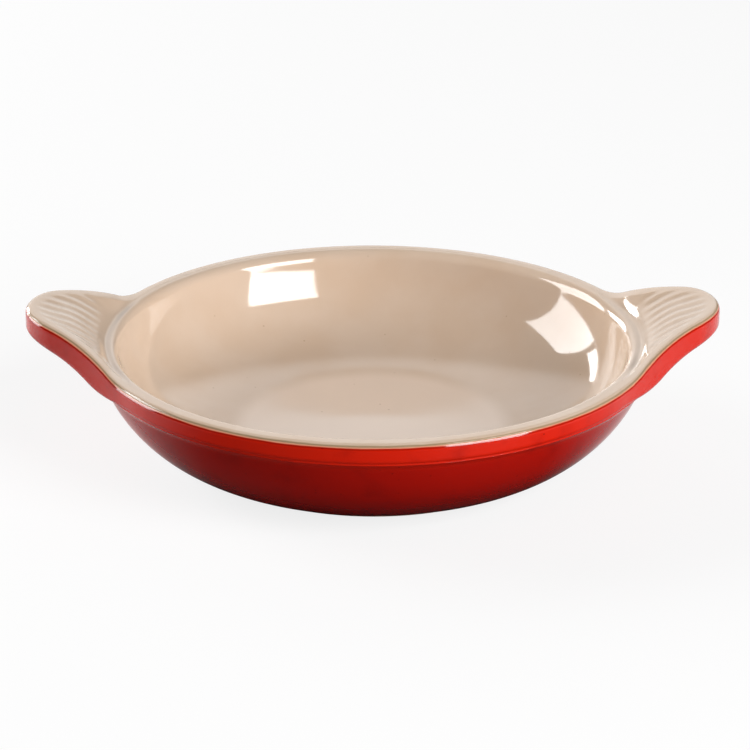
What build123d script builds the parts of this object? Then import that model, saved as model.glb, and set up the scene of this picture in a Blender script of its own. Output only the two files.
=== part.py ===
from build123d import *
import math
import os

# A round, shallow gratin dish for one helping, with two upswept, fluted lugs. Millimetres, +Z up.
# The origin is on the table under the middle of the dish, and the lugs lie along X.

# The round dish
rim_radius = 78.0
rim_height = 33.0
rim_width = 7.0
rim_outer_round = 2.0
rim_inner_drop = 2.7
band_height = 5.9
band_lower_round = 1.6
band_overhang = 1.5
floor_height = 6.0
wall_start_slope = 15.4
inside_start_slope = 12.8

# The bare foot ring, and the recessed base inside it. The floor of the bowl is smaller than the ring.
foot_radius = 49.0
floor_inset = 3.0
foot_width = 4.5
foot_reveal = 0.8
foot_bevel = 0.3
base_recess = 1.2

# The lugs in plan: a flare off the rim, then a round tip
lug_length = 18.4
lug_tip_radius = 20.0
lug_flare_radius = 95.0

# The lugs from the side: the brim bends up inside the rim, then levels out towards the tip
lug_rise = 10.4
lug_slope = 36.5
top_bend_inset = 11.5
top_bend_radius = 10.0
under_bend_inset = 6.5
under_bend_radius = 11.8
lug_tip_thickness = 6.8

# The hollowed top of a lug, inside a plain border, and the bead of the rim that closes it off
border_width = 3.6
bead_width = 2.9
bead_round = 1.0
hollow_depth = 3.0
hollow_lift = 0.3
hollow_peak_share = 0.33
hollow_station_shares = (0.0, 0.14, 0.3, 0.48, 0.66, 0.82, 0.96)

# The flutes that fan out over the hollow
flute_count = 7
flute_start_radius = 2.6
flute_end_radius = 1.6
flute_lift = 0.3
flute_fan_share = 0.82
flute_start_share = 0.46
flute_end_share = 0.95

# The glaze, thicker over the square edges of the clay's brim and over the plain clay under the flutes
glaze_thickness = 0.35
brim_glaze_thickness = 0.8
clay_hollow_drop = 0.8

# Where the two colours meet: just below the clay's upper edge outside, and out of sight inside
glaze_line_step = 0.1
seam_depth = 1.6

# One overrun for every cut, and how far from upright a direction may be and still count as that
overrun = 20.0
upright_share = 0.05
middle_share = 0.5

# Places that follow from these sizes
wall_top_radius = rim_radius - band_overhang
inside_radius = rim_radius - rim_width
groove_radius = inside_radius + bead_width
floor_radius = foot_radius - floor_inset
foot_inner_radius = foot_radius - foot_width
lug_reach = rim_radius + lug_length
tip_center = lug_reach - lug_tip_radius


def flare_center():
    """Middle of the arc that flares a lug off the rim, in plan."""
    from_middle = rim_radius + lug_flare_radius
    from_tip = lug_tip_radius + lug_flare_radius
    x = (from_middle**2 - from_tip**2 + tip_center**2) / (2 * tip_center)
    return x, math.sqrt(from_middle**2 - x**2)


def flare_ends(inset):
    """Where the flare leaves the rim and where it meets the tip, in an outline set in by inset."""
    x, y = flare_center()
    rim_turn = math.atan2(y, x)
    tip_turn = math.atan2(y, x - tip_center)
    rim = rim_radius - inset
    tip = lug_tip_radius - inset
    leaves = (rim * math.cos(rim_turn), rim * math.sin(rim_turn))
    meets = (tip_center + tip * math.cos(tip_turn), tip * math.sin(tip_turn))
    return leaves, meets


def half_width(x, inset):
    """Half the width of a lug at x, in an outline set in by inset."""
    center_x, center_y = flare_center()
    if x < flare_ends(inset)[1][0]:
        return center_y - math.sqrt((lug_flare_radius + inset) ** 2 - (center_x - x) ** 2)
    return math.sqrt((lug_tip_radius - inset) ** 2 - (x - tip_center) ** 2)


def outline(inset):
    """The dish in plan: the round rim, the flares and the round tips of both lugs."""
    leaves, meets = flare_ends(inset)
    middle_x = (leaves[0] + meets[0]) / 2
    flare_middle = (middle_x, half_width(middle_x, inset))
    edges = []
    for side in (1, -1):
        tip = (side * (lug_reach - inset), 0)
        edges.append(ThreePointArc((side * meets[0], -meets[1]), tip, (side * meets[0], meets[1])))
        for back in (1, -1):
            corners = [(side * x, back * y) for x, y in (leaves, flare_middle, meets)]
            edges.append(ThreePointArc(*corners))
        rim = (0, side * (rim_radius - inset))
        edges.append(ThreePointArc((leaves[0], side * leaves[1]), rim, (-leaves[0], side * leaves[1])))
    return make_face(Wire(edges))


class BrimCurve:
    """Side view of the brim: level over the dish, bent up at the lug, then an arc out to the tip."""

    def __init__(self, start, bend_radius, level, tip_level):
        slope = math.radians(lug_slope)
        self.start = start
        self.bend_radius = bend_radius
        self.level = level
        self.tip_level = tip_level
        self.turn_x = start + bend_radius * math.sin(slope)
        turn_z = level + bend_radius * (1 - math.cos(slope))
        run = lug_reach - self.turn_x
        climb = tip_level - turn_z
        self.out_radius = (run**2 + climb**2) / (2 * (run * math.sin(slope) - climb * math.cos(slope)))
        self.out_x = self.turn_x + self.out_radius * math.sin(slope)
        self.out_z = turn_z - self.out_radius * math.cos(slope)

    def point(self, x):
        if x <= self.start:
            return (x, self.level)
        if x <= self.turn_x:
            rise = self.bend_radius - math.sqrt(self.bend_radius**2 - (x - self.start) ** 2)
            return (x, self.level + rise)
        return (x, self.out_z + math.sqrt(self.out_radius**2 - (x - self.out_x) ** 2))

    def edges(self):
        bend = [self.point(x) for x in (self.start, (self.start + self.turn_x) / 2, self.turn_x)]
        out = [self.point(x) for x in (self.turn_x, (self.turn_x + lug_reach) / 2, lug_reach)]
        level = Line(self.point(0), bend[0])
        past = Line(out[2], (lug_reach + overrun, self.tip_level))
        return [level, ThreePointArc(*bend), ThreePointArc(*out), past]


def top_curve(inset):
    tip_level = rim_height + lug_rise - inset
    return BrimCurve(rim_radius - top_bend_inset, top_bend_radius + inset, rim_height - inset, tip_level)


def under_curve(inset):
    tip_level = rim_height + lug_rise - lug_tip_thickness + inset
    level = rim_height - band_height + inset
    return BrimCurve(rim_radius - under_bend_inset, under_bend_radius - inset, level, tip_level)


def slab(low, high_edges):
    """The space between a brim curve and what closes it above, right across the dish."""
    side_view = Plane.XZ * make_face(Wire(low.edges() + high_edges))
    half = extrude(side_view, amount=rim_radius + overrun, both=True)
    return half + mirror(half, Plane.YZ)


def brim_plate(inset):
    """The band of the rim and both lugs as one square-edged plate, set in all round by inset."""
    top = top_curve(inset)
    under = under_curve(inset)
    end = lug_reach + overrun
    closing = [Line((end, under.tip_level), (end, top.tip_level)), Line((0, under.level), (0, top.level))]
    column = extrude(outline(inset), amount=rim_height + lug_rise + overrun)
    return column & slab(under, top.edges() + closing)


def rounded_brim():
    """The brim as the glaze leaves it, with its upper and lower edges rounded."""
    plate = brim_plate(0)
    for upper, rounding in ((True, rim_outer_round), (False, band_lower_round)):
        edges = []
        for face in plate.faces().filter_by(GeomType.CYLINDER):
            if abs(face.normal_at(face.center()).Z) > upright_share:
                continue
            for edge in face.edges():
                middle = edge @ middle_share
                x = abs(middle.X)
                height_between = (top_curve(0).point(x)[1] + under_curve(0).point(x)[1]) / 2
                upright = abs((edge % middle_share).Z) > 1 - upright_share
                if not upright and (middle.Z > height_between) == upper:
                    edges.append(edge)
        plate = fillet(ShapeList(edges), rounding)
    return plate


class WallArc:
    """One side of the bowl's wall in section: an arc that leaves its lower end at a slope, in degrees."""

    def __init__(self, lower, upper, start_slope):
        start = math.radians(start_slope)
        run = upper[0] - lower[0]
        climb = upper[1] - lower[1]
        half_turn = math.atan2(climb, run) - start
        self.radius = math.hypot(run, climb) / (2 * math.sin(half_turn))
        self.x = lower[0] - self.radius * math.sin(start)
        self.z = lower[1] + self.radius * math.cos(start)

    def point(self, z, grow):
        """The point at height z of this arc, moved outwards by grow."""
        return (self.x + math.sqrt((self.radius + grow) ** 2 - (z - self.z) ** 2), z)

    def edge(self, low, high, grow):
        return ThreePointArc(self.point(low, grow), self.point((low + high) / 2, grow), self.point(high, grow))

    def direction(self, z, grow):
        """The way up the arc at height z."""
        x = self.point(z, grow)[0] - self.x
        return (self.z - z, x) if self.z > z else (z - self.z, x)


def turn_about_axis(edges):
    return revolve(Plane.XZ * make_face(Wire(edges)), Axis.Z)


def bowl_wall(skin):
    """The bowl below the band, solid, down to the foot."""
    top = rim_height - band_height
    arc = WallArc((foot_radius, foot_reveal), (wall_top_radius, top), wall_start_slope)
    foot_point = arc.point(foot_reveal, -skin)
    band_point = arc.point(top, -skin)
    inner_top = (band_point[0], rim_height - rim_outer_round)
    return turn_about_axis([
        Line((0, foot_reveal), foot_point),
        arc.edge(foot_reveal, top, -skin),
        Line(band_point, inner_top),
        Line(inner_top, (0, inner_top[1])),
        Line((0, inner_top[1]), (0, foot_reveal)),
    ])


def inside(skin):
    """The space inside the bowl, up over the rounded inner edge of the rim to the groove of the lugs."""
    wall_top = rim_height - rim_inner_drop
    arc = WallArc((floor_radius, floor_height), (inside_radius, wall_top), inside_start_slope)
    low = floor_height - skin
    floor_edge = arc.point(low, skin)
    round_start = arc.point(wall_top, skin)
    round_end = (groove_radius - skin, rim_height - skin)
    high = rim_height + lug_rise + overrun
    if skin:
        rounding = Line(round_start, round_end)
    else:
        rounding = TangentArc(round_start, round_end, tangent=arc.direction(wall_top, skin))
    return turn_about_axis([
        Line((0, low), floor_edge),
        arc.edge(low, wall_top, skin),
        rounding,
        Line(round_end, (round_end[0], high)),
        Line((round_end[0], high), (0, high)),
        Line((0, high), (0, low)),
    ])


def hollow_place(share):
    """Where a cross-section of the hollow lies, how wide it is and how much of its depth it has."""
    start = flare_ends(border_width)[0][0]
    x = start + share * (lug_reach - border_width - start)
    half_wave = 1 - hollow_peak_share if share > hollow_peak_share else 2 * hollow_peak_share
    depth_share = math.cos(math.pi / 2 * (share - hollow_peak_share) / half_wave) ** 2
    return x, half_width(x, border_width), depth_share


def hollow_level(share, y):
    """Height of the hollow's surface at y, in the cross-section at share."""
    x, width, depth_share = hollow_place(share)
    sag = (hollow_depth + hollow_lift) * depth_share * (1 - (y / width) ** 2)
    return top_curve(0).point(x)[1] + hollow_lift - sag


def hollow(skin):
    """The cut that hollows the top of one lug: a loft through shallow arcs across it."""
    high = rim_height + lug_rise + overrun
    sections = []
    for share in hollow_station_shares:
        x, width, depth_share = hollow_place(share)
        edge_level = hollow_level(share, width) - skin
        low_level = hollow_level(share, 0) - skin
        section = Wire([
            ThreePointArc((-width, edge_level), (0, low_level), (width, edge_level)),
            Line((width, edge_level), (width, high)),
            Line((width, high), (-width, high)),
            Line((-width, high), (-width, edge_level)),
        ])
        sections.append(Plane(origin=(x, 0, 0), x_dir=(0, 1, 0), z_dir=(1, 0, 0)) * make_face(section))
    return loft(sections)


def bead(skin):
    """What the hollow leaves standing behind the groove: the bead of the rim, rounded outside."""
    radius = groove_radius - skin
    rounding = bead_round - skin
    top = rim_height - skin
    low = top - overrun
    corner = rounding * (1 - math.sqrt(1 / 2))
    return turn_about_axis([
        Line((0, low), (radius, low)),
        Line((radius, low), (radius, top - rounding)),
        ThreePointArc((radius, top - rounding), (radius - corner, top - corner), (radius - rounding, top)),
        Line((radius - rounding, top), (0, top)),
        Line((0, top), (0, low)),
    ])


def flutes():
    """The fluting of one lug: tapered grooves that fan out from the tip and fade at both ends."""
    cuts = []
    for number in range(flute_count):
        fan = (2 * number / (flute_count - 1) - 1) * flute_fan_share
        ends = []
        for share, radius in ((flute_start_share, flute_start_radius), (flute_end_share, flute_end_radius)):
            x, width, depth_share = hollow_place(share)
            bottom = Vector(x, fan * width, hollow_level(share, fan * width))
            ends.append((bottom, radius + flute_lift))
        along = ends[1][0] - ends[0][0]
        upright = (Vector(0, 0, 1) - along * (along.Z / along.length**2)).normalized()
        start, end = [bottom + upright * rise for bottom, rise in ends]
        axis = end - start
        cone = Cone(flute_start_radius, flute_end_radius, axis.length)
        cuts.append(Plane(origin=(start + end) / 2, z_dir=axis) * cone)
    return cuts


def dish_form(brim, skin, cuts):
    """The dish above its foot ring: the brim on the bowl, hollowed, then the same cuts at both lugs."""
    form = brim + bowl_wall(skin) - inside(skin)
    for cut in cuts:
        form = form - cut
        form = form - mirror(cut, Plane.YZ)
    return form


def glazed_form():
    return dish_form(rounded_brim(), 0, [hollow(0) - bead(0)] + flutes())


def bare_form():
    """The dish without its glaze: every surface set back, and no flutes."""
    lug_hollow = hollow(glaze_thickness + clay_hollow_drop) - bead(glaze_thickness)
    return dish_form(brim_plate(brim_glaze_thickness), glaze_thickness, [lug_hollow])


def foot_ring():
    """The bare ring that the dish stands on, its two edges on the table eased."""
    ring = Cylinder(foot_radius, foot_reveal) - Cylinder(foot_inner_radius, foot_reveal)
    ring = Pos(0, 0, foot_reveal / 2) * ring
    table_edges = ring.edges().filter_by(GeomType.CIRCLE).group_by(Axis.Z)[0]
    return chamfer(table_edges, foot_bevel)


def base_disc(low, high):
    """A disc inside the foot ring."""
    return Pos(0, 0, (low + high) / 2) * Cylinder(foot_inner_radius, high - low)


def cream_side():
    """All that the cream glaze may cover: what lies above the glaze line or inside the bowl."""
    line = top_curve(brim_glaze_thickness + glaze_line_step)
    high = rim_height + lug_rise + overrun
    end = lug_reach + overrun
    closing = [
        Line((end, line.tip_level), (end, high)),
        Line((end, high), (0, high)),
        Line((0, high), (0, line.level)),
    ]
    rim_top_low = rim_height - rim_inner_drop
    rim_top = Pos(0, 0, (rim_top_low + high) / 2) * Cylinder(groove_radius, high - rim_top_low)
    lug_inside = hollow(seam_depth)
    return slab(line, closing) + inside(seam_depth) + rim_top + lug_inside + mirror(lug_inside, Plane.YZ)


def make_dish():
    glazed = glazed_form()
    bare = bare_form()
    recess = base_disc(0, base_recess + glaze_thickness)
    clay = bare + foot_ring() - recess
    coat = glazed - bare - recess
    cream = cream_side()
    return {
        "clay_body": clay,
        "cream_glaze": coat & cream,
        "red_glaze": coat - cream,
        "base_glaze": base_disc(base_recess, base_recess + glaze_thickness),
    }


os.makedirs("parts", exist_ok=True)
for name, piece in make_dish().items():
    export_step(piece, "parts/" + name + ".step")
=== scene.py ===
import math
import bpy
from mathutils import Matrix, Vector


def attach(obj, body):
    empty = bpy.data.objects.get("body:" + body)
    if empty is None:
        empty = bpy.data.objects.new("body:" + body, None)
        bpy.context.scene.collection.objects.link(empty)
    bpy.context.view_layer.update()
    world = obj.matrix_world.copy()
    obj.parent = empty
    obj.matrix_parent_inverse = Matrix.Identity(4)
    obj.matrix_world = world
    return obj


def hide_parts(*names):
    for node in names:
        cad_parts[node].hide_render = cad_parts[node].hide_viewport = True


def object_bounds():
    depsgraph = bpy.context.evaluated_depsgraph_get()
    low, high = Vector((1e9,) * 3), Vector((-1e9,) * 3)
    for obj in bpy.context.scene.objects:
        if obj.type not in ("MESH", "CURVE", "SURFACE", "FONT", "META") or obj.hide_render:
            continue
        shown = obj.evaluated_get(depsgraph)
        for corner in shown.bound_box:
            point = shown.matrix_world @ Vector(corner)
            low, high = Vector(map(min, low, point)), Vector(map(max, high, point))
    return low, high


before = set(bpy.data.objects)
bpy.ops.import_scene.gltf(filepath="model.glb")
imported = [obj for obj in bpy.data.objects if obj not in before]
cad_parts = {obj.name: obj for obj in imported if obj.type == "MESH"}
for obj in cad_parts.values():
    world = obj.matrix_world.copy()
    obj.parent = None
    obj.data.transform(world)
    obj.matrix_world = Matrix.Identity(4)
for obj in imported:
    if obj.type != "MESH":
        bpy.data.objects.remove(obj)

mm = 0.001
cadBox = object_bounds()
print("frame loaded, nodes:", sorted(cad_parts))

# The dish in millimetres, as in the CAD. Its reach and its width come from the frame.
dish = {
    "lugReach": cadBox[1][0] / mm,
    "rimRadius": cadBox[1][1] / mm,
    "rimHeight": 33.0,
    "lugRise": 10.4,
    "edgeRound": 2.0,
    "bandHeight": 5.9,
    "bandRound": 1.6,
    "bandTurnAngle": 48.0,
    "bandTurnRun": (0.0, 3.0),
    "underLiftShare": 0.5,
    "coveReach": 1.1,
    "coveDepth": 2.2,
    "lugTipRadius": 20.0,
    "lugFlareRadius": 95.0,
    "lugSlope": 36.5,
    "lugThickness": 6.8,
    "topBendStart": 66.5,
    "topBendRadius": 10.0,
    "underBendStart": 71.5,
    "underBendRadius": 11.8,
    "wallTopRadius": 76.5,
    "wallTopHeight": 27.1,
    "footRadius": 49.0,
    "footHeight": 0.8,
    "wallStartSlope": 15.4,
    "floorRadius": 46.0,
    "floorHeight": 6.0,
    "flatRadius": 12.0,
    "floorBow": 44.0,
    "wallBow": 18.0,
    "insideTopRadius": 71.0,
    "insideTopHeight": 30.3,
    "insideStartSlope": 12.8,
    "roundCenterRadius": 74.56,
    "roundCenterHeight": 29.38,
    "roundRadius": 3.68,
    "roundEndRadius": 74.4,
    "roundBlend": 0.35,
    "coatDepth": 0.5,
    "brimCoatDepth": 1.5,
    "underCoatLift": 1.0,
}

# The hollow of a lug, the crease in front of the rim's bead, and the flutes, in millimetres.
# Inset is the way in from the lug's own edge.
lug = {
    "tipHollowDepth": 0.6,
    "creaseHollowDepth": 3.15,
    "hollowStart": 66.6,
    "hollowRun": (71.0, 86.0),
    "hollowInset": (2.6, 9.0),
    "deepInset": (4.0, 21.5),
    "beadStart": 71.8,
    "beadEnd": 76.6,
    "creaseRadius": 74.9,
    "creaseWidth": 1.7,
    "creaseDepth": 0.12,
    "flutePitch": 4.4,
    "fluteDepth": 0.26,
    "fluteRun": (75.0, 80.0),
    "fluteInset": (2.7, 5.6),
}

# How far below the top edge the two glazes meet, and how finely the surfaces are meshed
glazeLine = {"drop": 0.72, "hiddenAway": 20.0}
meshSteps = {
    "tip": 40, "flare": 56, "rim": 66,
    "floor": 2, "insideWall": 50, "insideRound": 14, "sheet": 46, "edge": 9,
    "redEdge": 7, "side": 5, "bandTurn": 8, "under": 22, "cove": 8, "wall": 34, "hidden": 14,
}


def smoothStep(low, high, value):
    share = min(max((value - low) / (high - low), 0), 1)
    return share * share * (3 - 2 * share)


def softMin(a, b, width):
    overlap = max(width - abs(a - b), 0) / width
    return min(a, b) - overlap * overlap * width / 4


def spread(low, high, steps, first=0):
    return [low + (high - low) * k / steps for k in range(first, steps + 1)]


# Plan outline: rim circle, flares and lug tips, as points with their outward direction
def flareCenter():
    fromMiddle = dish["rimRadius"] + dish["lugFlareRadius"]
    fromTip = dish["lugTipRadius"] + dish["lugFlareRadius"]
    tipCenter = dish["lugReach"] - dish["lugTipRadius"]
    x = (fromMiddle**2 - fromTip**2 + tipCenter**2) / (2 * tipCenter)
    return x, math.sqrt(fromMiddle**2 - x**2)


def quarterOutline():
    tipCenter = dish["lugReach"] - dish["lugTipRadius"]
    flareX, flareY = flareCenter()
    tipTurn = math.atan2(flareY, flareX - tipCenter)
    rimTurn = math.atan2(flareY, flareX)
    points = []
    parts = (
        ((tipCenter, 0), dish["lugTipRadius"], spread(0, tipTurn, meshSteps["tip"])),
        ((flareX, flareY), -dish["lugFlareRadius"], spread(tipTurn, rimTurn, meshSteps["flare"], 1)),
        ((0, 0), dish["rimRadius"], spread(rimTurn, math.pi / 2, meshSteps["rim"], 1)),
    )
    for center, radius, turns in parts:
        for turn in turns:
            out = (math.cos(turn), math.sin(turn))
            points.append((center[0] + radius * out[0], center[1] + radius * out[1], *out))
    return points


def wholeOutline():
    quarter = quarterOutline()
    half = quarter + [(-x, y, -outX, outY) for x, y, outX, outY in reversed(quarter[:-1])]
    return half[:-1] + [(-x, -y, -outX, -outY) for x, y, outX, outY in half[:-1]]


def insetPlan(outline, inset):
    return [(x - outX * inset, y - outY * inset) for x, y, outX, outY in outline]


# The plan a share of the way from one plan to another
def planBetween(inner, outer, share):
    return [(a[0] + (b[0] - a[0]) * share, a[1] + (b[1] - a[1]) * share) for a, b in zip(inner, outer)]


# The same spokes on a circle
def circlePlan(outline, inset, radius):
    plan = []
    for x, y in insetPlan(outline, inset):
        length = math.hypot(x, y)
        plan.append((x * radius / length, y * radius / length))
    return plan


# Side view of the brim: level, a bend up, then an arc out to the tip
def brimLevel(x, start, bendRadius, level, tipLevel):
    slope = math.radians(dish["lugSlope"])
    turnX = start + bendRadius * math.sin(slope)
    turnZ = level + bendRadius * (1 - math.cos(slope))
    run = dish["lugReach"] - turnX
    climb = tipLevel - turnZ
    outRadius = (run**2 + climb**2) / (2 * (run * math.sin(slope) - climb * math.cos(slope)))
    if x <= start:
        return level
    if x <= turnX:
        return level + bendRadius - math.sqrt(bendRadius**2 - (x - start) ** 2)
    centerX = turnX + outRadius * math.sin(slope)
    return turnZ - outRadius * math.cos(slope) + math.sqrt(outRadius**2 - (x - centerX) ** 2)


def topLevel(x):
    tip = dish["rimHeight"] + dish["lugRise"]
    return brimLevel(abs(x), dish["topBendStart"], dish["topBendRadius"], dish["rimHeight"], tip)


def underLevel(x):
    level = dish["rimHeight"] - dish["bandHeight"]
    tip = dish["rimHeight"] + dish["lugRise"] - dish["lugThickness"]
    return brimLevel(abs(x), dish["underBendStart"], dish["underBendRadius"], level, tip)


# The way in from a lug's edge, in plan
def lugInset(x, y):
    flareX, flareY = flareCenter()
    tipCenter = dish["lugReach"] - dish["lugTipRadius"]
    turn = math.atan2(abs(y), abs(x) - tipCenter)
    if turn < math.atan2(flareY, flareX - tipCenter):
        return dish["lugTipRadius"] - math.hypot(abs(x) - tipCenter, y)
    return math.hypot(flareX - abs(x), flareY - abs(y)) - dish["lugFlareRadius"]


# How far the hollow lies below the brim: shallow towards the tip, deep in front of the crease
def hollowDrop(x, y):
    if abs(x) < lug["hollowStart"]:
        return 0
    inset = lugInset(x, y)
    start, end = lug["deepInset"]
    bowl = min(max((inset - start) / (end - start), 0), 1)
    deep = (1 - smoothStep(*lug["hollowRun"], abs(x))) * bowl * (2 - bowl)
    shallow = lug["tipHollowDepth"] * smoothStep(*lug["hollowInset"], inset)
    return shallow + (lug["creaseHollowDepth"] - lug["tipHollowDepth"]) * deep


# Share of a flute's depth at a place: 0 on a ridge or off the fluting, 1 in the middle of a groove
def fluteShare(x, y):
    fade = smoothStep(*lug["fluteRun"], abs(x))
    if fade == 0:
        return 0
    fade *= smoothStep(*lug["fluteInset"], lugInset(x, y))
    return fade * (1 + math.cos(2 * math.pi * y / lug["flutePitch"])) / 2


# Share of the crease's depth, which runs round the bowl where the lug meets the rim's bead
def creaseShare(x, y):
    away = (math.hypot(x, y) - lug["creaseRadius"]) / lug["creaseWidth"]
    inside = smoothStep(*lug["hollowInset"], lugInset(x, y))
    return inside * math.exp(-away * away) if abs(x) > abs(y) else 0


# Height of the glazed top at a place: brim, hollow, flutes, crease and the rounded inner edge
def topSurface(x, y):
    radius = math.hypot(x, y)
    raised = topLevel(x) - dish["rimHeight"] - hollowDrop(x, y)
    raised -= lug["fluteDepth"] * fluteShare(x, y)
    level = dish["rimHeight"] + raised * smoothStep(lug["beadStart"], lug["beadEnd"], radius)
    level -= lug["creaseDepth"] * creaseShare(x, y)
    fromCenter = dish["roundCenterRadius"] - radius
    if abs(fromCenter) >= dish["roundRadius"] or fromCenter < 0:
        return level
    rounding = dish["roundCenterHeight"] + math.sqrt(dish["roundRadius"] ** 2 - fromCenter**2)
    return softMin(rounding, level, dish["roundBlend"])


# The bowl's wall in section, inside and outside
class WallArc:
    def __init__(self, lower, upper, startSlope):
        start = math.radians(startSlope)
        run, climb = upper[0] - lower[0], upper[1] - lower[1]
        halfTurn = math.atan2(climb, run) - start
        self.start = start
        self.end = start + 2 * halfTurn
        self.radius = math.hypot(run, climb) / (2 * math.sin(halfTurn))
        self.x = lower[0] - self.radius * math.sin(start)
        self.z = lower[1] + self.radius * math.cos(start)

    def at(self, share, grow=0):
        turn = self.start + (self.end - self.start) * share
        reach = self.radius + grow
        return self.x + reach * math.sin(turn), self.z - reach * math.cos(turn)

    def shareAt(self, height):
        turn = math.acos((self.z - height) / self.radius)
        return (turn - self.start) / (self.end - self.start)


insideWall = WallArc(
    (dish["floorRadius"], dish["floorHeight"]),
    (dish["insideTopRadius"], dish["insideTopHeight"]),
    dish["insideStartSlope"],
)
outsideWall = WallArc(
    (dish["footRadius"], dish["footHeight"]),
    (dish["wallTopRadius"], dish["wallTopHeight"]),
    dish["wallStartSlope"],
)


# The glazed inside in section: one soft curve from the flat of the floor to the rounded rim
def insideAt(share):
    top = (dish["insideTopRadius"], dish["insideTopHeight"])
    level, bow = dish["floorHeight"], dish["wallBow"]
    points = (
        (dish["flatRadius"], level),
        (dish["flatRadius"] + dish["floorBow"], level),
        (top[0] - bow * math.cos(insideWall.end), top[1] - bow * math.sin(insideWall.end)),
        top,
    )
    rest = 1 - share
    weights = (rest**3, 3 * rest**2 * share, 3 * rest * share**2, share**3)
    return [sum(weight * point[k] for weight, point in zip(weights, points)) for k in (0, 1)]


# Rings of points, one point for each spoke of the outline, in millimetres
outline = wholeOutline()


def circleRing(inset, radius, height):
    return [(x, y, height) for x, y in circlePlan(outline, inset, radius)]


# On the rounded top edge, where turn is 90 at the top and 0 at the side
def edgeRing(turn):
    rounding = dish["edgeRound"]
    inset = rounding * (1 - math.cos(math.radians(turn)))
    drop = rounding * (1 - math.sin(math.radians(turn)))
    return [(x, y, topSurface(x, y) - drop) for x, y in insetPlan(outline, inset)]


def lineTurn():
    return math.degrees(math.asin(1 - glazeLine["drop"] / dish["edgeRound"]))


def creamRings():
    rings = []
    for radius in spread(0, dish["flatRadius"], meshSteps["floor"], 1)[:-1]:
        rings.append(circleRing(dish["edgeRound"], radius, dish["floorHeight"]))
    for share in spread(0, 1, meshSteps["insideWall"]):
        rings.append(circleRing(dish["edgeRound"], *insideAt(share)))
    firstTurn = math.acos((dish["roundCenterRadius"] - dish["insideTopRadius"]) / dish["roundRadius"])
    lastTurn = math.acos((dish["roundCenterRadius"] - dish["roundEndRadius"]) / dish["roundRadius"])
    for turn in spread(firstTurn, lastTurn, meshSteps["insideRound"], 1):
        radius = dish["roundCenterRadius"] - dish["roundRadius"] * math.cos(turn)
        plan = circlePlan(outline, dish["edgeRound"], radius)
        rings.append([(x, y, topSurface(x, y)) for x, y in plan])
    inner = circlePlan(outline, dish["edgeRound"], dish["roundEndRadius"])
    outer = insetPlan(outline, dish["edgeRound"])
    for share in spread(0, 1, meshSteps["sheet"], 1):
        plan = planBetween(inner, outer, share)
        rings.append([(x, y, topSurface(x, y)) for x, y in plan])
    for turn in spread(90, lineTurn(), meshSteps["edge"], 1):
        rings.append(edgeRing(turn))
    return rings


# The coat's own underside, from the glaze line back to the middle of the floor
def hiddenCreamRings():
    rings = []
    outer = insetPlan(outline, dish["edgeRound"])
    inner = circlePlan(outline, dish["edgeRound"], dish["roundEndRadius"])
    for share in spread(1, 0, meshSteps["hidden"]):
        plan = planBetween(inner, outer, share)
        rings.append([(x, y, topSurface(x, y) - dish["brimCoatDepth"]) for x, y in plan])
    for share in spread(1, 0, meshSteps["hidden"]):
        rings.append(circleRing(dish["edgeRound"], *insideWall.at(share, dish["coatDepth"])))
    return rings


# How far the band's lower edge turns under: less at the bare rim, where the cove takes over
def bandTurnEnd(inset, spoke):
    x, y, outX, outY = spoke
    overhang = math.hypot(x - outX * inset, y - outY * inset) - dish["wallTopRadius"]
    return dish["bandTurnAngle"] + (90 - dish["bandTurnAngle"]) * smoothStep(*dish["bandTurnRun"], overhang)


def bandPoint(spoke, turn):
    x, y, outX, outY = spoke
    rounding = dish["bandRound"]
    inset = rounding * (1 - math.cos(math.radians(turn)))
    px, py = x - outX * inset, y - outY * inset
    return px, py, underLevel(px) + rounding * (1 - math.sin(math.radians(turn)))


# Along the underside of a lug, from the rounded edge to where the cove starts
def underPoint(spoke, share):
    turn = bandTurnEnd(dish["bandRound"], spoke)
    x, y, z = bandPoint(spoke, turn)
    length = math.hypot(x, y)
    reach = max(length - dish["wallTopRadius"] - dish["coveReach"], 0)
    radius = length - reach * share
    px, py = x * radius / length, y * radius / length
    lift = z - underLevel(x)
    return px, py, underLevel(px) + lift * (1 - smoothStep(0, dish["underLiftShare"], share))


def covePoint(spoke, share):
    start = underPoint(spoke, 1)
    length = math.hypot(start[0], start[1])
    endShare = outsideWall.shareAt(dish["wallTopHeight"] - dish["coveDepth"])
    endRadius, endHeight = outsideWall.at(endShare)
    turn = outsideWall.start + (outsideWall.end - outsideWall.start) * endShare
    startTurn = math.radians(bandTurnEnd(dish["bandRound"], spoke))
    size = math.hypot(length - endRadius, start[2] - endHeight)
    startWay = (-math.sin(startTurn) * size, -math.cos(startTurn) * size)
    endWay = (-math.cos(turn) * size, -math.sin(turn) * size)
    s2, s3 = share * share, share**3
    a, b, c, d = 2 * s3 - 3 * s2 + 1, s3 - 2 * s2 + share, 3 * s2 - 2 * s3, s3 - s2
    radius = a * length + b * startWay[0] + c * endRadius + d * endWay[0]
    height = a * start[2] + b * startWay[1] + c * endHeight + d * endWay[1]
    return start[0] * radius / length, start[1] * radius / length, height


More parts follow.
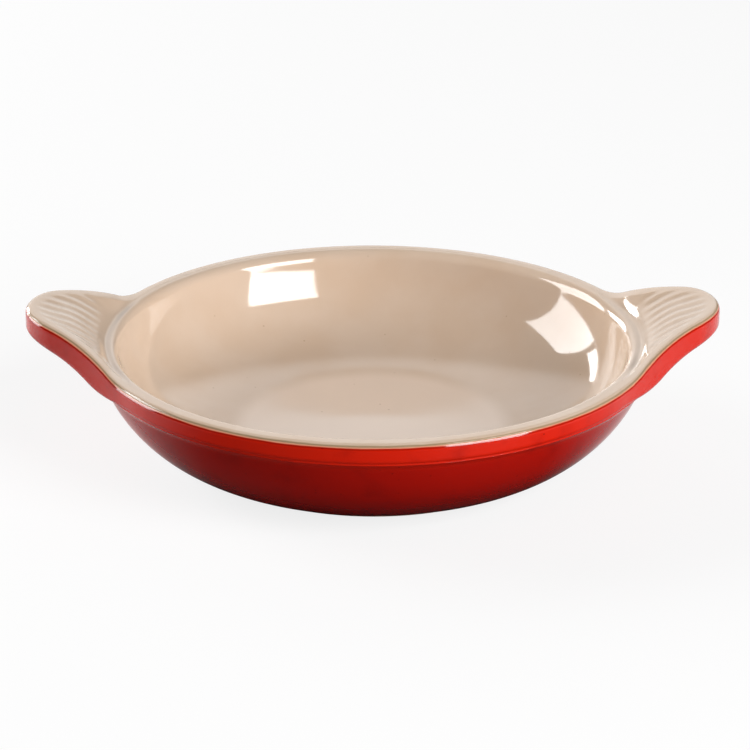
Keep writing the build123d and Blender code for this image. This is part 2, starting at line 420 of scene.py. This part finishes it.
def redRings():
    rings = []
    for turn in spread(lineTurn(), 0, meshSteps["redEdge"]):
        rings.append(edgeRing(turn))
    for share in spread(0, 1, meshSteps["side"], 1):
        ring = []
        for x, y, outX, outY in outline:
            high = topSurface(x, y) - dish["edgeRound"]
            low = underLevel(x) + dish["bandRound"]
            ring.append((x, y, high + (low - high) * share))
        rings.append(ring)
    bandEnds = [bandTurnEnd(dish["bandRound"], spoke) for spoke in outline]
    for share in spread(0, 1, meshSteps["bandTurn"], 1):
        rings.append([bandPoint(spoke, share * end) for spoke, end in zip(outline, bandEnds)])
    for share in spread(0, 1, meshSteps["under"], 1):
        rings.append([underPoint(spoke, share) for spoke in outline])
    for share in spread(0, 1, meshSteps["cove"], 1):
        rings.append([covePoint(spoke, share) for spoke in outline])
    coveEnd = outsideWall.shareAt(dish["wallTopHeight"] - dish["coveDepth"])
    for share in spread(coveEnd, 0, meshSteps["wall"], 1):
        rings.append([spokeOnWall(spoke, share, 0) for spoke in outline])
    return rings


def spokeOnWall(spoke, share, depth):
    x, y, z = underPoint(spoke, 1)
    radius, height = outsideWall.at(share, -depth)
    length = math.hypot(x, y)
    return x * radius / length, y * radius / length, height


# Back up inside the wall, then under the brim to the glaze line
def hiddenRedRings():
    rings = []
    coveEnd = outsideWall.shareAt(dish["wallTopHeight"] - dish["coveDepth"])
    for share in spread(0, coveEnd, meshSteps["hidden"]):
        rings.append([spokeOnWall(spoke, share, dish["coatDepth"]) for spoke in outline])
    for share in spread(1, 0, meshSteps["hidden"]):
        ring = []
        for spoke in outline:
            x, y, z = underPoint(spoke, share)
            length = math.hypot(x, y)
            reach = length - dish["brimCoatDepth"]
            ring.append((x * reach / length, y * reach / length, z + dish["underCoatLift"]))
        rings.append(ring)
    return rings


# Millimetres along the surface from the first ring, for each ring and spoke
def wayAlong(rings):
    ways = [[0.0] * len(rings[0])]
    for last, ring in zip(rings, rings[1:]):
        ways.append([way + math.dist(a, b) for way, a, b in zip(ways[-1], last, ring)])
    return ways


# A closed mesh from rings of equal length; a cap is the height of a middle point, or None.
# Each shade is a number per ring and spoke, which the materials read as an attribute.
def addMesh(name, rings, caps, shades):
    count = len(rings[0])
    verts = [point for ring in rings for point in ring]
    faces = []
    for row in range(len(rings) - 1):
        for k in range(count):
            a, b = row * count + k, row * count + (k + 1) % count
            faces.append((a, a + count, b + count, b))
    last = (len(rings) - 1) * count
    if caps is None:
        for k in range(count):
            faces.append((last + k, k, (k + 1) % count, last + (k + 1) % count))
    else:
        verts += [(0, 0, caps[0]), (0, 0, caps[1])]
        for k in range(count):
            faces.append((len(verts) - 2, k, (k + 1) % count))
            faces.append((last + (k + 1) % count, last + k, len(verts) - 1))
    mesh = bpy.data.meshes.new(name)
    mesh.from_pydata([(x * mm, y * mm, z * mm) for x, y, z in verts], [], faces)
    mesh.shade_smooth()
    mesh.validate()
    mesh.update()
    for shade, rows in shades.items():
        values = [value for row in rows for value in row]
        values += [values[-1]] * (len(verts) - len(values))
        mesh.attributes.new(shade, "FLOAT", "POINT").data.foreach_set("value", values)
    piece = bpy.data.objects.new(name, mesh)
    bpy.context.scene.collection.objects.link(piece)
    return piece


def makeCream():
    shown, hidden = creamRings(), hiddenCreamRings()
    away = [[glazeLine["hiddenAway"]] * len(outline) for ring in hidden]
    still = [[0.0] * len(outline) for ring in hidden]
    # A share of painted shade, with some glaze pooling, in the flute grooves and the crease
    poolAndShade = [[max(fluteShare(x, y), creaseShare(x, y)) for x, y, z in ring] for ring in shown]
    shades = {"lineDistance": wayAlong(shown[::-1])[::-1] + away, "poolAndShade": poolAndShade + still}
    caps = (dish["floorHeight"], dish["floorHeight"] - dish["coatDepth"])
    piece = addMesh("creamGlazeCoat", shown + hidden, caps, shades)
    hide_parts("cream_glaze")
    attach(piece, "root")
    return piece


def makeRed():
    shown, hidden = redRings(), hiddenRedRings()
    away = [[glazeLine["hiddenAway"]] * len(outline) for ring in hidden]
    piece = addMesh("redGlazeCoat", shown + hidden, None, {"lineDistance": wayAlong(shown) + away})
    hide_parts("red_glaze")
    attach(piece, "root")
    return piece


cream = makeCream()
red = makeRed()
print("glaze coats made:", len(cream.data.polygons), "and", len(red.data.polygons), "faces")


# Shader maths as expressions on sockets
class Shade:
    def __init__(self, nodes, socket):
        self.nodes = nodes
        self.socket = socket

    def math(self, operation, *values):
        return self.nodes.add("ShaderNodeMath", {"operation": operation}, dict(enumerate(values)))

    def __add__(self, other):
        return self.math("ADD", self, other)

    def __radd__(self, other):
        return self.math("ADD", other, self)

    def __sub__(self, other):
        return self.math("SUBTRACT", self, other)

    def __rsub__(self, other):
        return self.math("SUBTRACT", other, self)

    def __mul__(self, other):
        return self.math("MULTIPLY", self, other)

    def __rmul__(self, other):
        return self.math("MULTIPLY", other, self)

    def __truediv__(self, other):
        return self.math("DIVIDE", self, other)

    def __rtruediv__(self, other):
        return self.math("DIVIDE", other, self)

    # 0 below the low value and 1 above the high one, with soft ends
    def step(self, low, high):
        settings = {"interpolation_type": "SMOOTHSTEP"}
        inputs = {"Value": self, "From Min": low, "From Max": high}
        return self.nodes.add("ShaderNodeMapRange", settings, inputs)

    # 1 at the middle value, falling softly to 0 at a width to each side
    def near(self, middle, width):
        return 1 - self.math("ABSOLUTE", self - middle).step(0, width)


# The nodes of a material or of the world. One method adds any node and gives back one of its outputs.
class Finish:
    def __init__(self, owner):
        owner.use_nodes = True
        self.owner = owner
        self.tree = owner.node_tree
        self.shader = self.tree.nodes.get("Principled BSDF")

    def add(self, kind, settings=None, inputs=None, output=0):
        node = self.tree.nodes.new(kind)
        for key, value in (settings or {}).items():
            setattr(node, key, value)
        for key, value in (inputs or {}).items():
            self.feed(node.inputs[key], value)
        return Shade(self, node.outputs[output])

    def feed(self, socket, value):
        if isinstance(value, Shade):
            self.tree.links.new(value.socket, socket)
        else:
            socket.default_value = value

    def set(self, values):
        for key, value in values.items():
            self.feed(self.shader.inputs[key], value)

    def place(self):
        return self.add("ShaderNodeTexCoord", output="Object")

    def vector(self, operation, *values, output=0):
        settings = {"operation": operation}
        return self.add("ShaderNodeVectorMath", settings, dict(enumerate(values)), output)

    # Millimetres from the dish's upright middle line
    def radius(self):
        return self.vector("LENGTH", self.vector("MULTIPLY", self.place(), (1, 1, 0)), output="Value") / mm

    def noise(self, scale, detail=2.0):
        inputs = {"Vector": self.place(), "Scale": scale, "Detail": detail}
        return self.add("ShaderNodeTexNoise", None, inputs)

    # Small round specks: a share of the cells of a given size hold one
    def specks(self, scale, radius, share):
        inputs = {"Vector": self.place(), "Scale": scale}
        near = self.add("ShaderNodeTexVoronoi", None, inputs, "Distance")
        chance = self.add("ShaderNodeTexVoronoi", None, inputs, "Color")
        pick = self.add("ShaderNodeSeparateColor", None, {"Color": chance}, "Red")
        return (1 - near.step(radius * 0.5, radius)) * (1 - pick.step(share, share + 0.02))

    def attribute(self, name):
        return self.add("ShaderNodeAttribute", {"attribute_name": name}, None, "Fac")

    # Millimetres from the glaze line, which wanders a little
    def lineDistance(self, spec):
        return self.attribute("lineDistance") + (self.noise(spec["wanderScale"]) - 0.5) * spec["wander"]

    # Sockets 6 and 7 are the Mix node's two colours, and its output 2 is their mixture
    def mix(self, factor, under, over):
        settings = {"data_type": "RGBA"}
        return self.add("ShaderNodeMix", settings, {0: factor, 6: under, 7: over}, 2)

    # Small specks of a colour over a shade
    def speckled(self, shade, spec):
        specks = self.specks(spec["speckScale"], spec["speckRadius"], spec["speckShare"])
        return self.mix(specks * spec["speckTint"], shade, spec["speck"])

    # A number that follows a tone between two ends
    def follow(self, tone, ends):
        return tone * (ends[1] - ends[0]) + ends[0]

    # Height in millimetres to a normal
    def bump(self, height):
        inputs = {"Height": height, "Distance": mm, "Strength": 1.0}
        return self.add("ShaderNodeBump", None, inputs)

    # The fine peel and the slow waves of a glaze
    def glazeBump(self, spec):
        peel = self.noise(spec["peelScale"]) * spec["peelDepth"]
        return self.bump(peel + self.noise(spec["waveScale"], 1.0) * spec["waveDepth"])


# A colour as seen on screen, as the shader's own linear values
def color(red255, green255, blue255):
    linear = []
    for value in (red255, green255, blue255):
        share = value / 255
        linear.append(share / 12.92 if share <= 0.04045 else ((share + 0.055) / 1.055) ** 2.4)
    return (*linear, 1)


# Cream glaze, with painted light on the bowl's floor and painted shade, with some glaze pooling, in the
# flute grooves and the crease. Scales of noise and specks are counts per metre; distances from the glaze
# line, radii and depths are in millimetres, and a speck's radius is a share of its cell.
creamFinish = {
    "body": color(214, 191, 170),
    "warm": color(208, 181, 156),
    "warmScale": 55.0,
    "warmRun": (0.35, 0.7),
    "warmTint": 0.6,
    # Painted light: the bowl's floor is painted lighter than its wall
    "floor": color(229, 208, 190),
    "floorLightRun": (34.0, 41.0),
    # Painted shade, with some glaze pooling: the colour of the flute grooves and the crease
    "poolAndShade": color(196, 174, 154),
    "poolAndShadeTint": 0.55,
    "speck": color(168, 138, 112),
    "speckScale": 420.0,
    "speckRadius": 0.16,
    "speckShare": 0.02,
    "speckTint": 0.5,
    "olive": color(158, 132, 100),
    "oliveAway": 0.22,
    "oliveWidth": 0.55,
    "wanderScale": 160.0,
    "wander": 0.25,
    "roughness": (0.05, 0.1),
    "peelScale": 420.0,
    "peelDepth": 0.0035,
    "waveScale": 70.0,
    "waveDepth": 0.02,
    "ior": 1.6,
}


def creamGlaze():
    spec = creamFinish
    finish = Finish(bpy.data.materials.new("creamGlaze"))
    tone = finish.noise(spec["warmScale"], 4.0)
    line = finish.lineDistance(spec)
    shade = finish.mix(tone.step(*spec["warmRun"]) * spec["warmTint"], spec["body"], spec["warm"])
    # Painted light: the floor is painted lighter inside its radius
    shade = finish.mix(finish.radius().step(*spec["floorLightRun"]), spec["floor"], shade)
    shade = finish.speckled(shade, spec)
    # Painted shade, with some glaze pooling: darker in the flute grooves and the crease
    shade = finish.mix(finish.attribute("poolAndShade") * spec["poolAndShadeTint"], shade, spec["poolAndShade"])
    shade = finish.mix(line.near(spec["oliveAway"], spec["oliveWidth"]), shade, spec["olive"])
    rough = finish.follow(tone, spec["roughness"])
    finish.set({"Base Color": shade, "Roughness": rough, "Normal": finish.glazeBump(spec)})
    finish.set({"IOR": spec["ior"]})
    return finish.owner


# Red glaze, darker down the wall towards the foot: painted shade of the down-facing wall, with some of the
# glaze's own deeper red low down. Runs are heights in millimetres.
redFinish = {
    # Painted shade, with some of the glaze's own deeper red: the colours darken from the band down to the
    # foot
    "foot": color(130, 9, 5),
    "wall": color(167, 15, 4),
    "lowShadeRun": (2.0, 18.0),
    "band": color(204, 29, 6),
    "highShadeRun": (24.0, 28.0),
    "dark": color(120, 8, 4),
    "darkRun": (0.5, 0.75),
    "darkTint": 0.35,
    "mottleScale": 90.0,
    "speck": color(90, 6, 4),
    "speckScale": 600.0,
    "speckRadius": 0.2,
    "speckShare": 0.03,
    "speckTint": 0.6,
    "salmon": color(216, 160, 128),
    "salmonAway": 0.12,
    "salmonWidth": 0.38,
    "seam": color(140, 20, 4),
    "seamAway": 0.62,
    "seamWidth": 0.4,
    "seamTint": 0.7,
    "wanderScale": 160.0,
    "wander": 0.25,
    "roughness": (0.05, 0.12),
    "peelScale": 420.0,
    "peelDepth": 0.0035,
    "waveScale": 70.0,
    "waveDepth": 0.02,
}


def redGlaze():
    spec = redFinish
    finish = Finish(bpy.data.materials.new("redGlaze"))
    tone = finish.noise(spec["mottleScale"], 4.0)
    line = finish.lineDistance(spec)
    height = finish.add("ShaderNodeSeparateXYZ", None, {0: finish.place()}, "Z") / mm
    # Painted shade, with some of the glaze's own deeper red: darker down the wall
    shade = finish.mix(height.step(*spec["lowShadeRun"]), spec["foot"], spec["wall"])
    shade = finish.mix(height.step(*spec["highShadeRun"]), shade, spec["band"])
    shade = finish.mix(tone.step(*spec["darkRun"]) * spec["darkTint"], shade, spec["dark"])
    shade = finish.speckled(shade, spec)
    seam = line.near(spec["seamAway"], spec["seamWidth"]) * spec["seamTint"]
    shade = finish.mix(seam, shade, spec["seam"])
    shade = finish.mix(line.near(spec["salmonAway"], spec["salmonWidth"]), shade, spec["salmon"])
    rough = finish.follow(tone, spec["roughness"])
    finish.set({"Base Color": shade, "Roughness": rough, "Normal": finish.glazeBump(spec)})
    return finish.owner


# Bare clay of the foot ring: matte, grainy and speckled
clayFinish = {
    "body": color(212, 192, 164),
    "stain": color(188, 160, 128),
    "stainScale": 90.0,
    "stainRun": (0.35, 0.7),
    "speck": color(120, 88, 62),
    "speckScale": 900.0,
    "speckRadius": 0.3,
    "speckShare": 0.12,
    "speckTint": 0.7,
    "grainScale": 1600.0,
    "grainDepth": 0.05,
    "roughness": (0.7, 0.95),
}


def bareClay():
    spec = clayFinish
    finish = Finish(bpy.data.materials.new("bareClay"))
    tone = finish.noise(spec["stainScale"], 5.0)
    grain = finish.noise(spec["grainScale"], 4.0)
    shade = finish.mix(tone.step(*spec["stainRun"]), spec["body"], spec["stain"])
    shade = finish.speckled(shade, spec)
    rough = finish.follow(grain, spec["roughness"])
    finish.set({"Base Color": shade, "Roughness": rough, "Normal": finish.bump(grain * spec["grainDepth"])})
    return finish.owner


# The coat on the recessed base: the red glaze, thicker and duller, darker towards its edge
baseFinish = {
    "body": color(140, 14, 9),
    "edge": color(84, 10, 8),
    "edgeRun": (34.0, 44.0),
    "mottleScale": 70.0,
    "dark": color(96, 8, 6),
    "darkRun": (0.4, 0.7),
    "darkTint": 0.7,
    "speck": color(60, 5, 4),
    "speckScale": 500.0,
    "speckRadius": 0.2,
    "speckShare": 0.06,
    "speckTint": 0.7,
    "roughness": (0.1, 0.25),
    "waveScale": 90.0,
    "waveDepth": 0.04,
}


def baseGlaze():
    spec = baseFinish
    finish = Finish(bpy.data.materials.new("baseGlaze"))
    tone = finish.noise(spec["mottleScale"], 4.0)
    shade = finish.mix(tone.step(*spec["darkRun"]) * spec["darkTint"], spec["body"], spec["dark"])
    shade = finish.mix(finish.radius().step(*spec["edgeRun"]), shade, spec["edge"])
    shade = finish.speckled(shade, spec)
    rough = finish.follow(tone, spec["roughness"])
    ripple = finish.noise(spec["waveScale"], 2.0) * spec["waveDepth"]
    finish.set({"Base Color": shade, "Roughness": rough, "Normal": finish.bump(ripple)})
    return finish.owner


cream.data.materials.append(creamGlaze())
red.data.materials.append(redGlaze())
for name, material in (("clay_body", bareClay()), ("base_glaze", baseGlaze())):
    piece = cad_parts[name]
    piece.data.materials.clear()
    piece.data.materials.append(material)
print("materials made")


# An azimuth is 0 at the right lug and -90 in front; both angles are in degrees
def direction(azimuth, elevation):
    azimuth, elevation = math.radians(azimuth), math.radians(elevation)
    flat = math.cos(elevation)
    return Vector((flat * math.cos(azimuth), flat * math.sin(azimuth), math.sin(elevation)))


# Camera, at the photograph's viewing angle. Distances are in millimetres, angles in degrees.
view = {
    "distance": 1000.0,
    "azimuth": -91.341,
    "elevation": 21.067,
    "roll": 0.131,
    "pixelsPerMm": 3.589,
    "framePixels": 750,
    "middlePixel": (373.144, 337.302),
    "sensorWidth": 36.0,
    "clipEnd": 10.0,
}


def addCamera():
    data = bpy.data.cameras.new("camera")
    camera = bpy.data.objects.new("camera", data)
    bpy.context.scene.collection.objects.link(camera)
    target = Vector((0, 0, dish["rimHeight"] * mm))
    camera.location = target + direction(view["azimuth"], view["elevation"]) * view["distance"] * mm
    camera.rotation_euler = (target - camera.location).to_track_quat("-Z", "Y").to_euler()
    camera.rotation_euler.rotate_axis("Z", math.radians(view["roll"]))
    data.sensor_width = view["sensorWidth"]
    focalPixels = view["pixelsPerMm"] * view["distance"]
    data.lens = focalPixels * data.sensor_width / view["framePixels"]
    half = view["framePixels"] / 2
    data.shift_x = (half - view["middlePixel"][0]) / view["framePixels"]
    data.shift_y = (view["middlePixel"][1] - half) / view["framePixels"]
    data.clip_end = view["clipEnd"]
    bpy.context.scene.camera = camera


# Floor, room and lights, in metres, degrees and watts. The floor has one shade for the camera, one for
# the light it throws back, and two for reflections: pale at the sides, and dark in front of the dish as
# painted shade.
# The bright side is an azimuth and an elevation, and the runs are cosines of the angle away from it
# and from the front.
studio = {
    "floorSize": 6.0,
    "floorGlow": 0.82,
    "floorShade": (0.9, 0.9, 0.9, 1),
    "floorAround": (0.4, 0.4, 0.4, 1),
    "floorMirrored": ((0.9, 0.9, 0.9, 1), (0.02, 0.02, 0.02, 1)),
    "floorRoughness": 0.7,
    "shadedFrontRun": (-0.1, 0.7),
    "brightSide": (93.0, 20.0),
    "brightRun": (0.86, 0.95),
    "roomLight": (0.03, 1.15),
    "lights": {
        "keySoftbox": {
            "azimuth": -44.0, "elevation": 26.0, "distance": 1.3,
            "size": (0.74, 0.72), "roll": -14.0, "watts": 21.0,
        },
        "sideWindow": {
            "azimuth": 157.0, "elevation": 19.0, "distance": 1.4,
            "size": (0.84, 0.95), "roll": 0.0, "watts": 20.0,
        },
        "backPanel": {
            "azimuth": 126.0, "elevation": 9.0, "distance": 1.4,
            "size": (0.46, 0.4), "roll": 0.0, "watts": 7.0,
        },
    },
}


def addFloor():
    half = studio["floorSize"] / 2
    corners = [(-half, -half, 0), (half, -half, 0), (half, half, 0), (-half, half, 0)]
    mesh = bpy.data.meshes.new("studioFloor")
    mesh.from_pydata(corners, [], [(0, 1, 2, 3)])
    floor = bpy.data.objects.new("studioFloor", mesh)
    bpy.context.scene.collection.objects.link(floor)
    finish = Finish(bpy.data.materials.new("paleFloor"))
    seen = finish.add("ShaderNodeLightPath", output="Is Camera Ray")
    mirrored = finish.add("ShaderNodeLightPath", output="Is Glossy Ray")
    way = finish.vector("NORMALIZE", finish.place())
    front = finish.vector("DOT_PRODUCT", way, (0, -1, 0), output="Value")
    # Painted shade: in reflections, the floor is dark in front of the dish
    sides = finish.mix(front.step(*studio["shadedFrontRun"]), *studio["floorMirrored"])
    around = finish.mix(mirrored, studio["floorAround"], sides)
    shade = finish.mix(seen, around, studio["floorShade"])
    finish.set({"Base Color": shade, "Roughness": studio["floorRoughness"]})
    glow = finish.add("ShaderNodeEmission", None, {"Color": (1, 1, 1, 1), "Strength": 1.0})
    own = Shade(finish, finish.shader.outputs[0])
    both = finish.add("ShaderNodeMixShader", None, {0: seen * studio["floorGlow"], 1: own, 2: glow})
    finish.feed(finish.tree.nodes["Material Output"].inputs["Surface"], both)
    mesh.materials.append(finish.owner)


def addLight(name, values):
    data = bpy.data.lights.new(name, "AREA")
    data.shape = "RECTANGLE"
    data.size, data.size_y = values["size"]
    data.energy = values["watts"]
    light = bpy.data.objects.new(name, data)
    bpy.context.scene.collection.objects.link(light)
    target = Vector((0, 0, dish["rimHeight"] * mm))
    light.location = target + direction(values["azimuth"], values["elevation"]) * values["distance"]
    light.rotation_euler = (target - light.location).to_track_quat("-Z", "Y").to_euler()
    light.rotation_euler.rotate_axis("Z", math.radians(values["roll"]))


# The room: dim, and bright low behind the dish. The camera sees plain white.
def addWorld():
    world = bpy.data.worlds.new("studio")
    bpy.context.scene.world = world
    finish = Finish(world)
    way = finish.add("ShaderNodeTexCoord", output="Generated")
    turned = finish.vector("DOT_PRODUCT", way, direction(*studio["brightSide"]), output="Value")
    dim, bright = studio["roomLight"]
    room = turned.step(*studio["brightRun"]) * (bright - dim) + dim
    seen = finish.add("ShaderNodeLightPath", output="Is Camera Ray")
    finish.feed(finish.tree.nodes["Background"].inputs["Color"], (1, 1, 1, 1))
    finish.feed(finish.tree.nodes["Background"].inputs["Strength"], room + seen * (1 - room))


addCamera()
addFloor()
addWorld()
for name, values in studio["lights"].items():
    addLight(name, values)
bpy.context.scene.view_settings.view_transform = "Standard"
print("camera, floor and lights made")
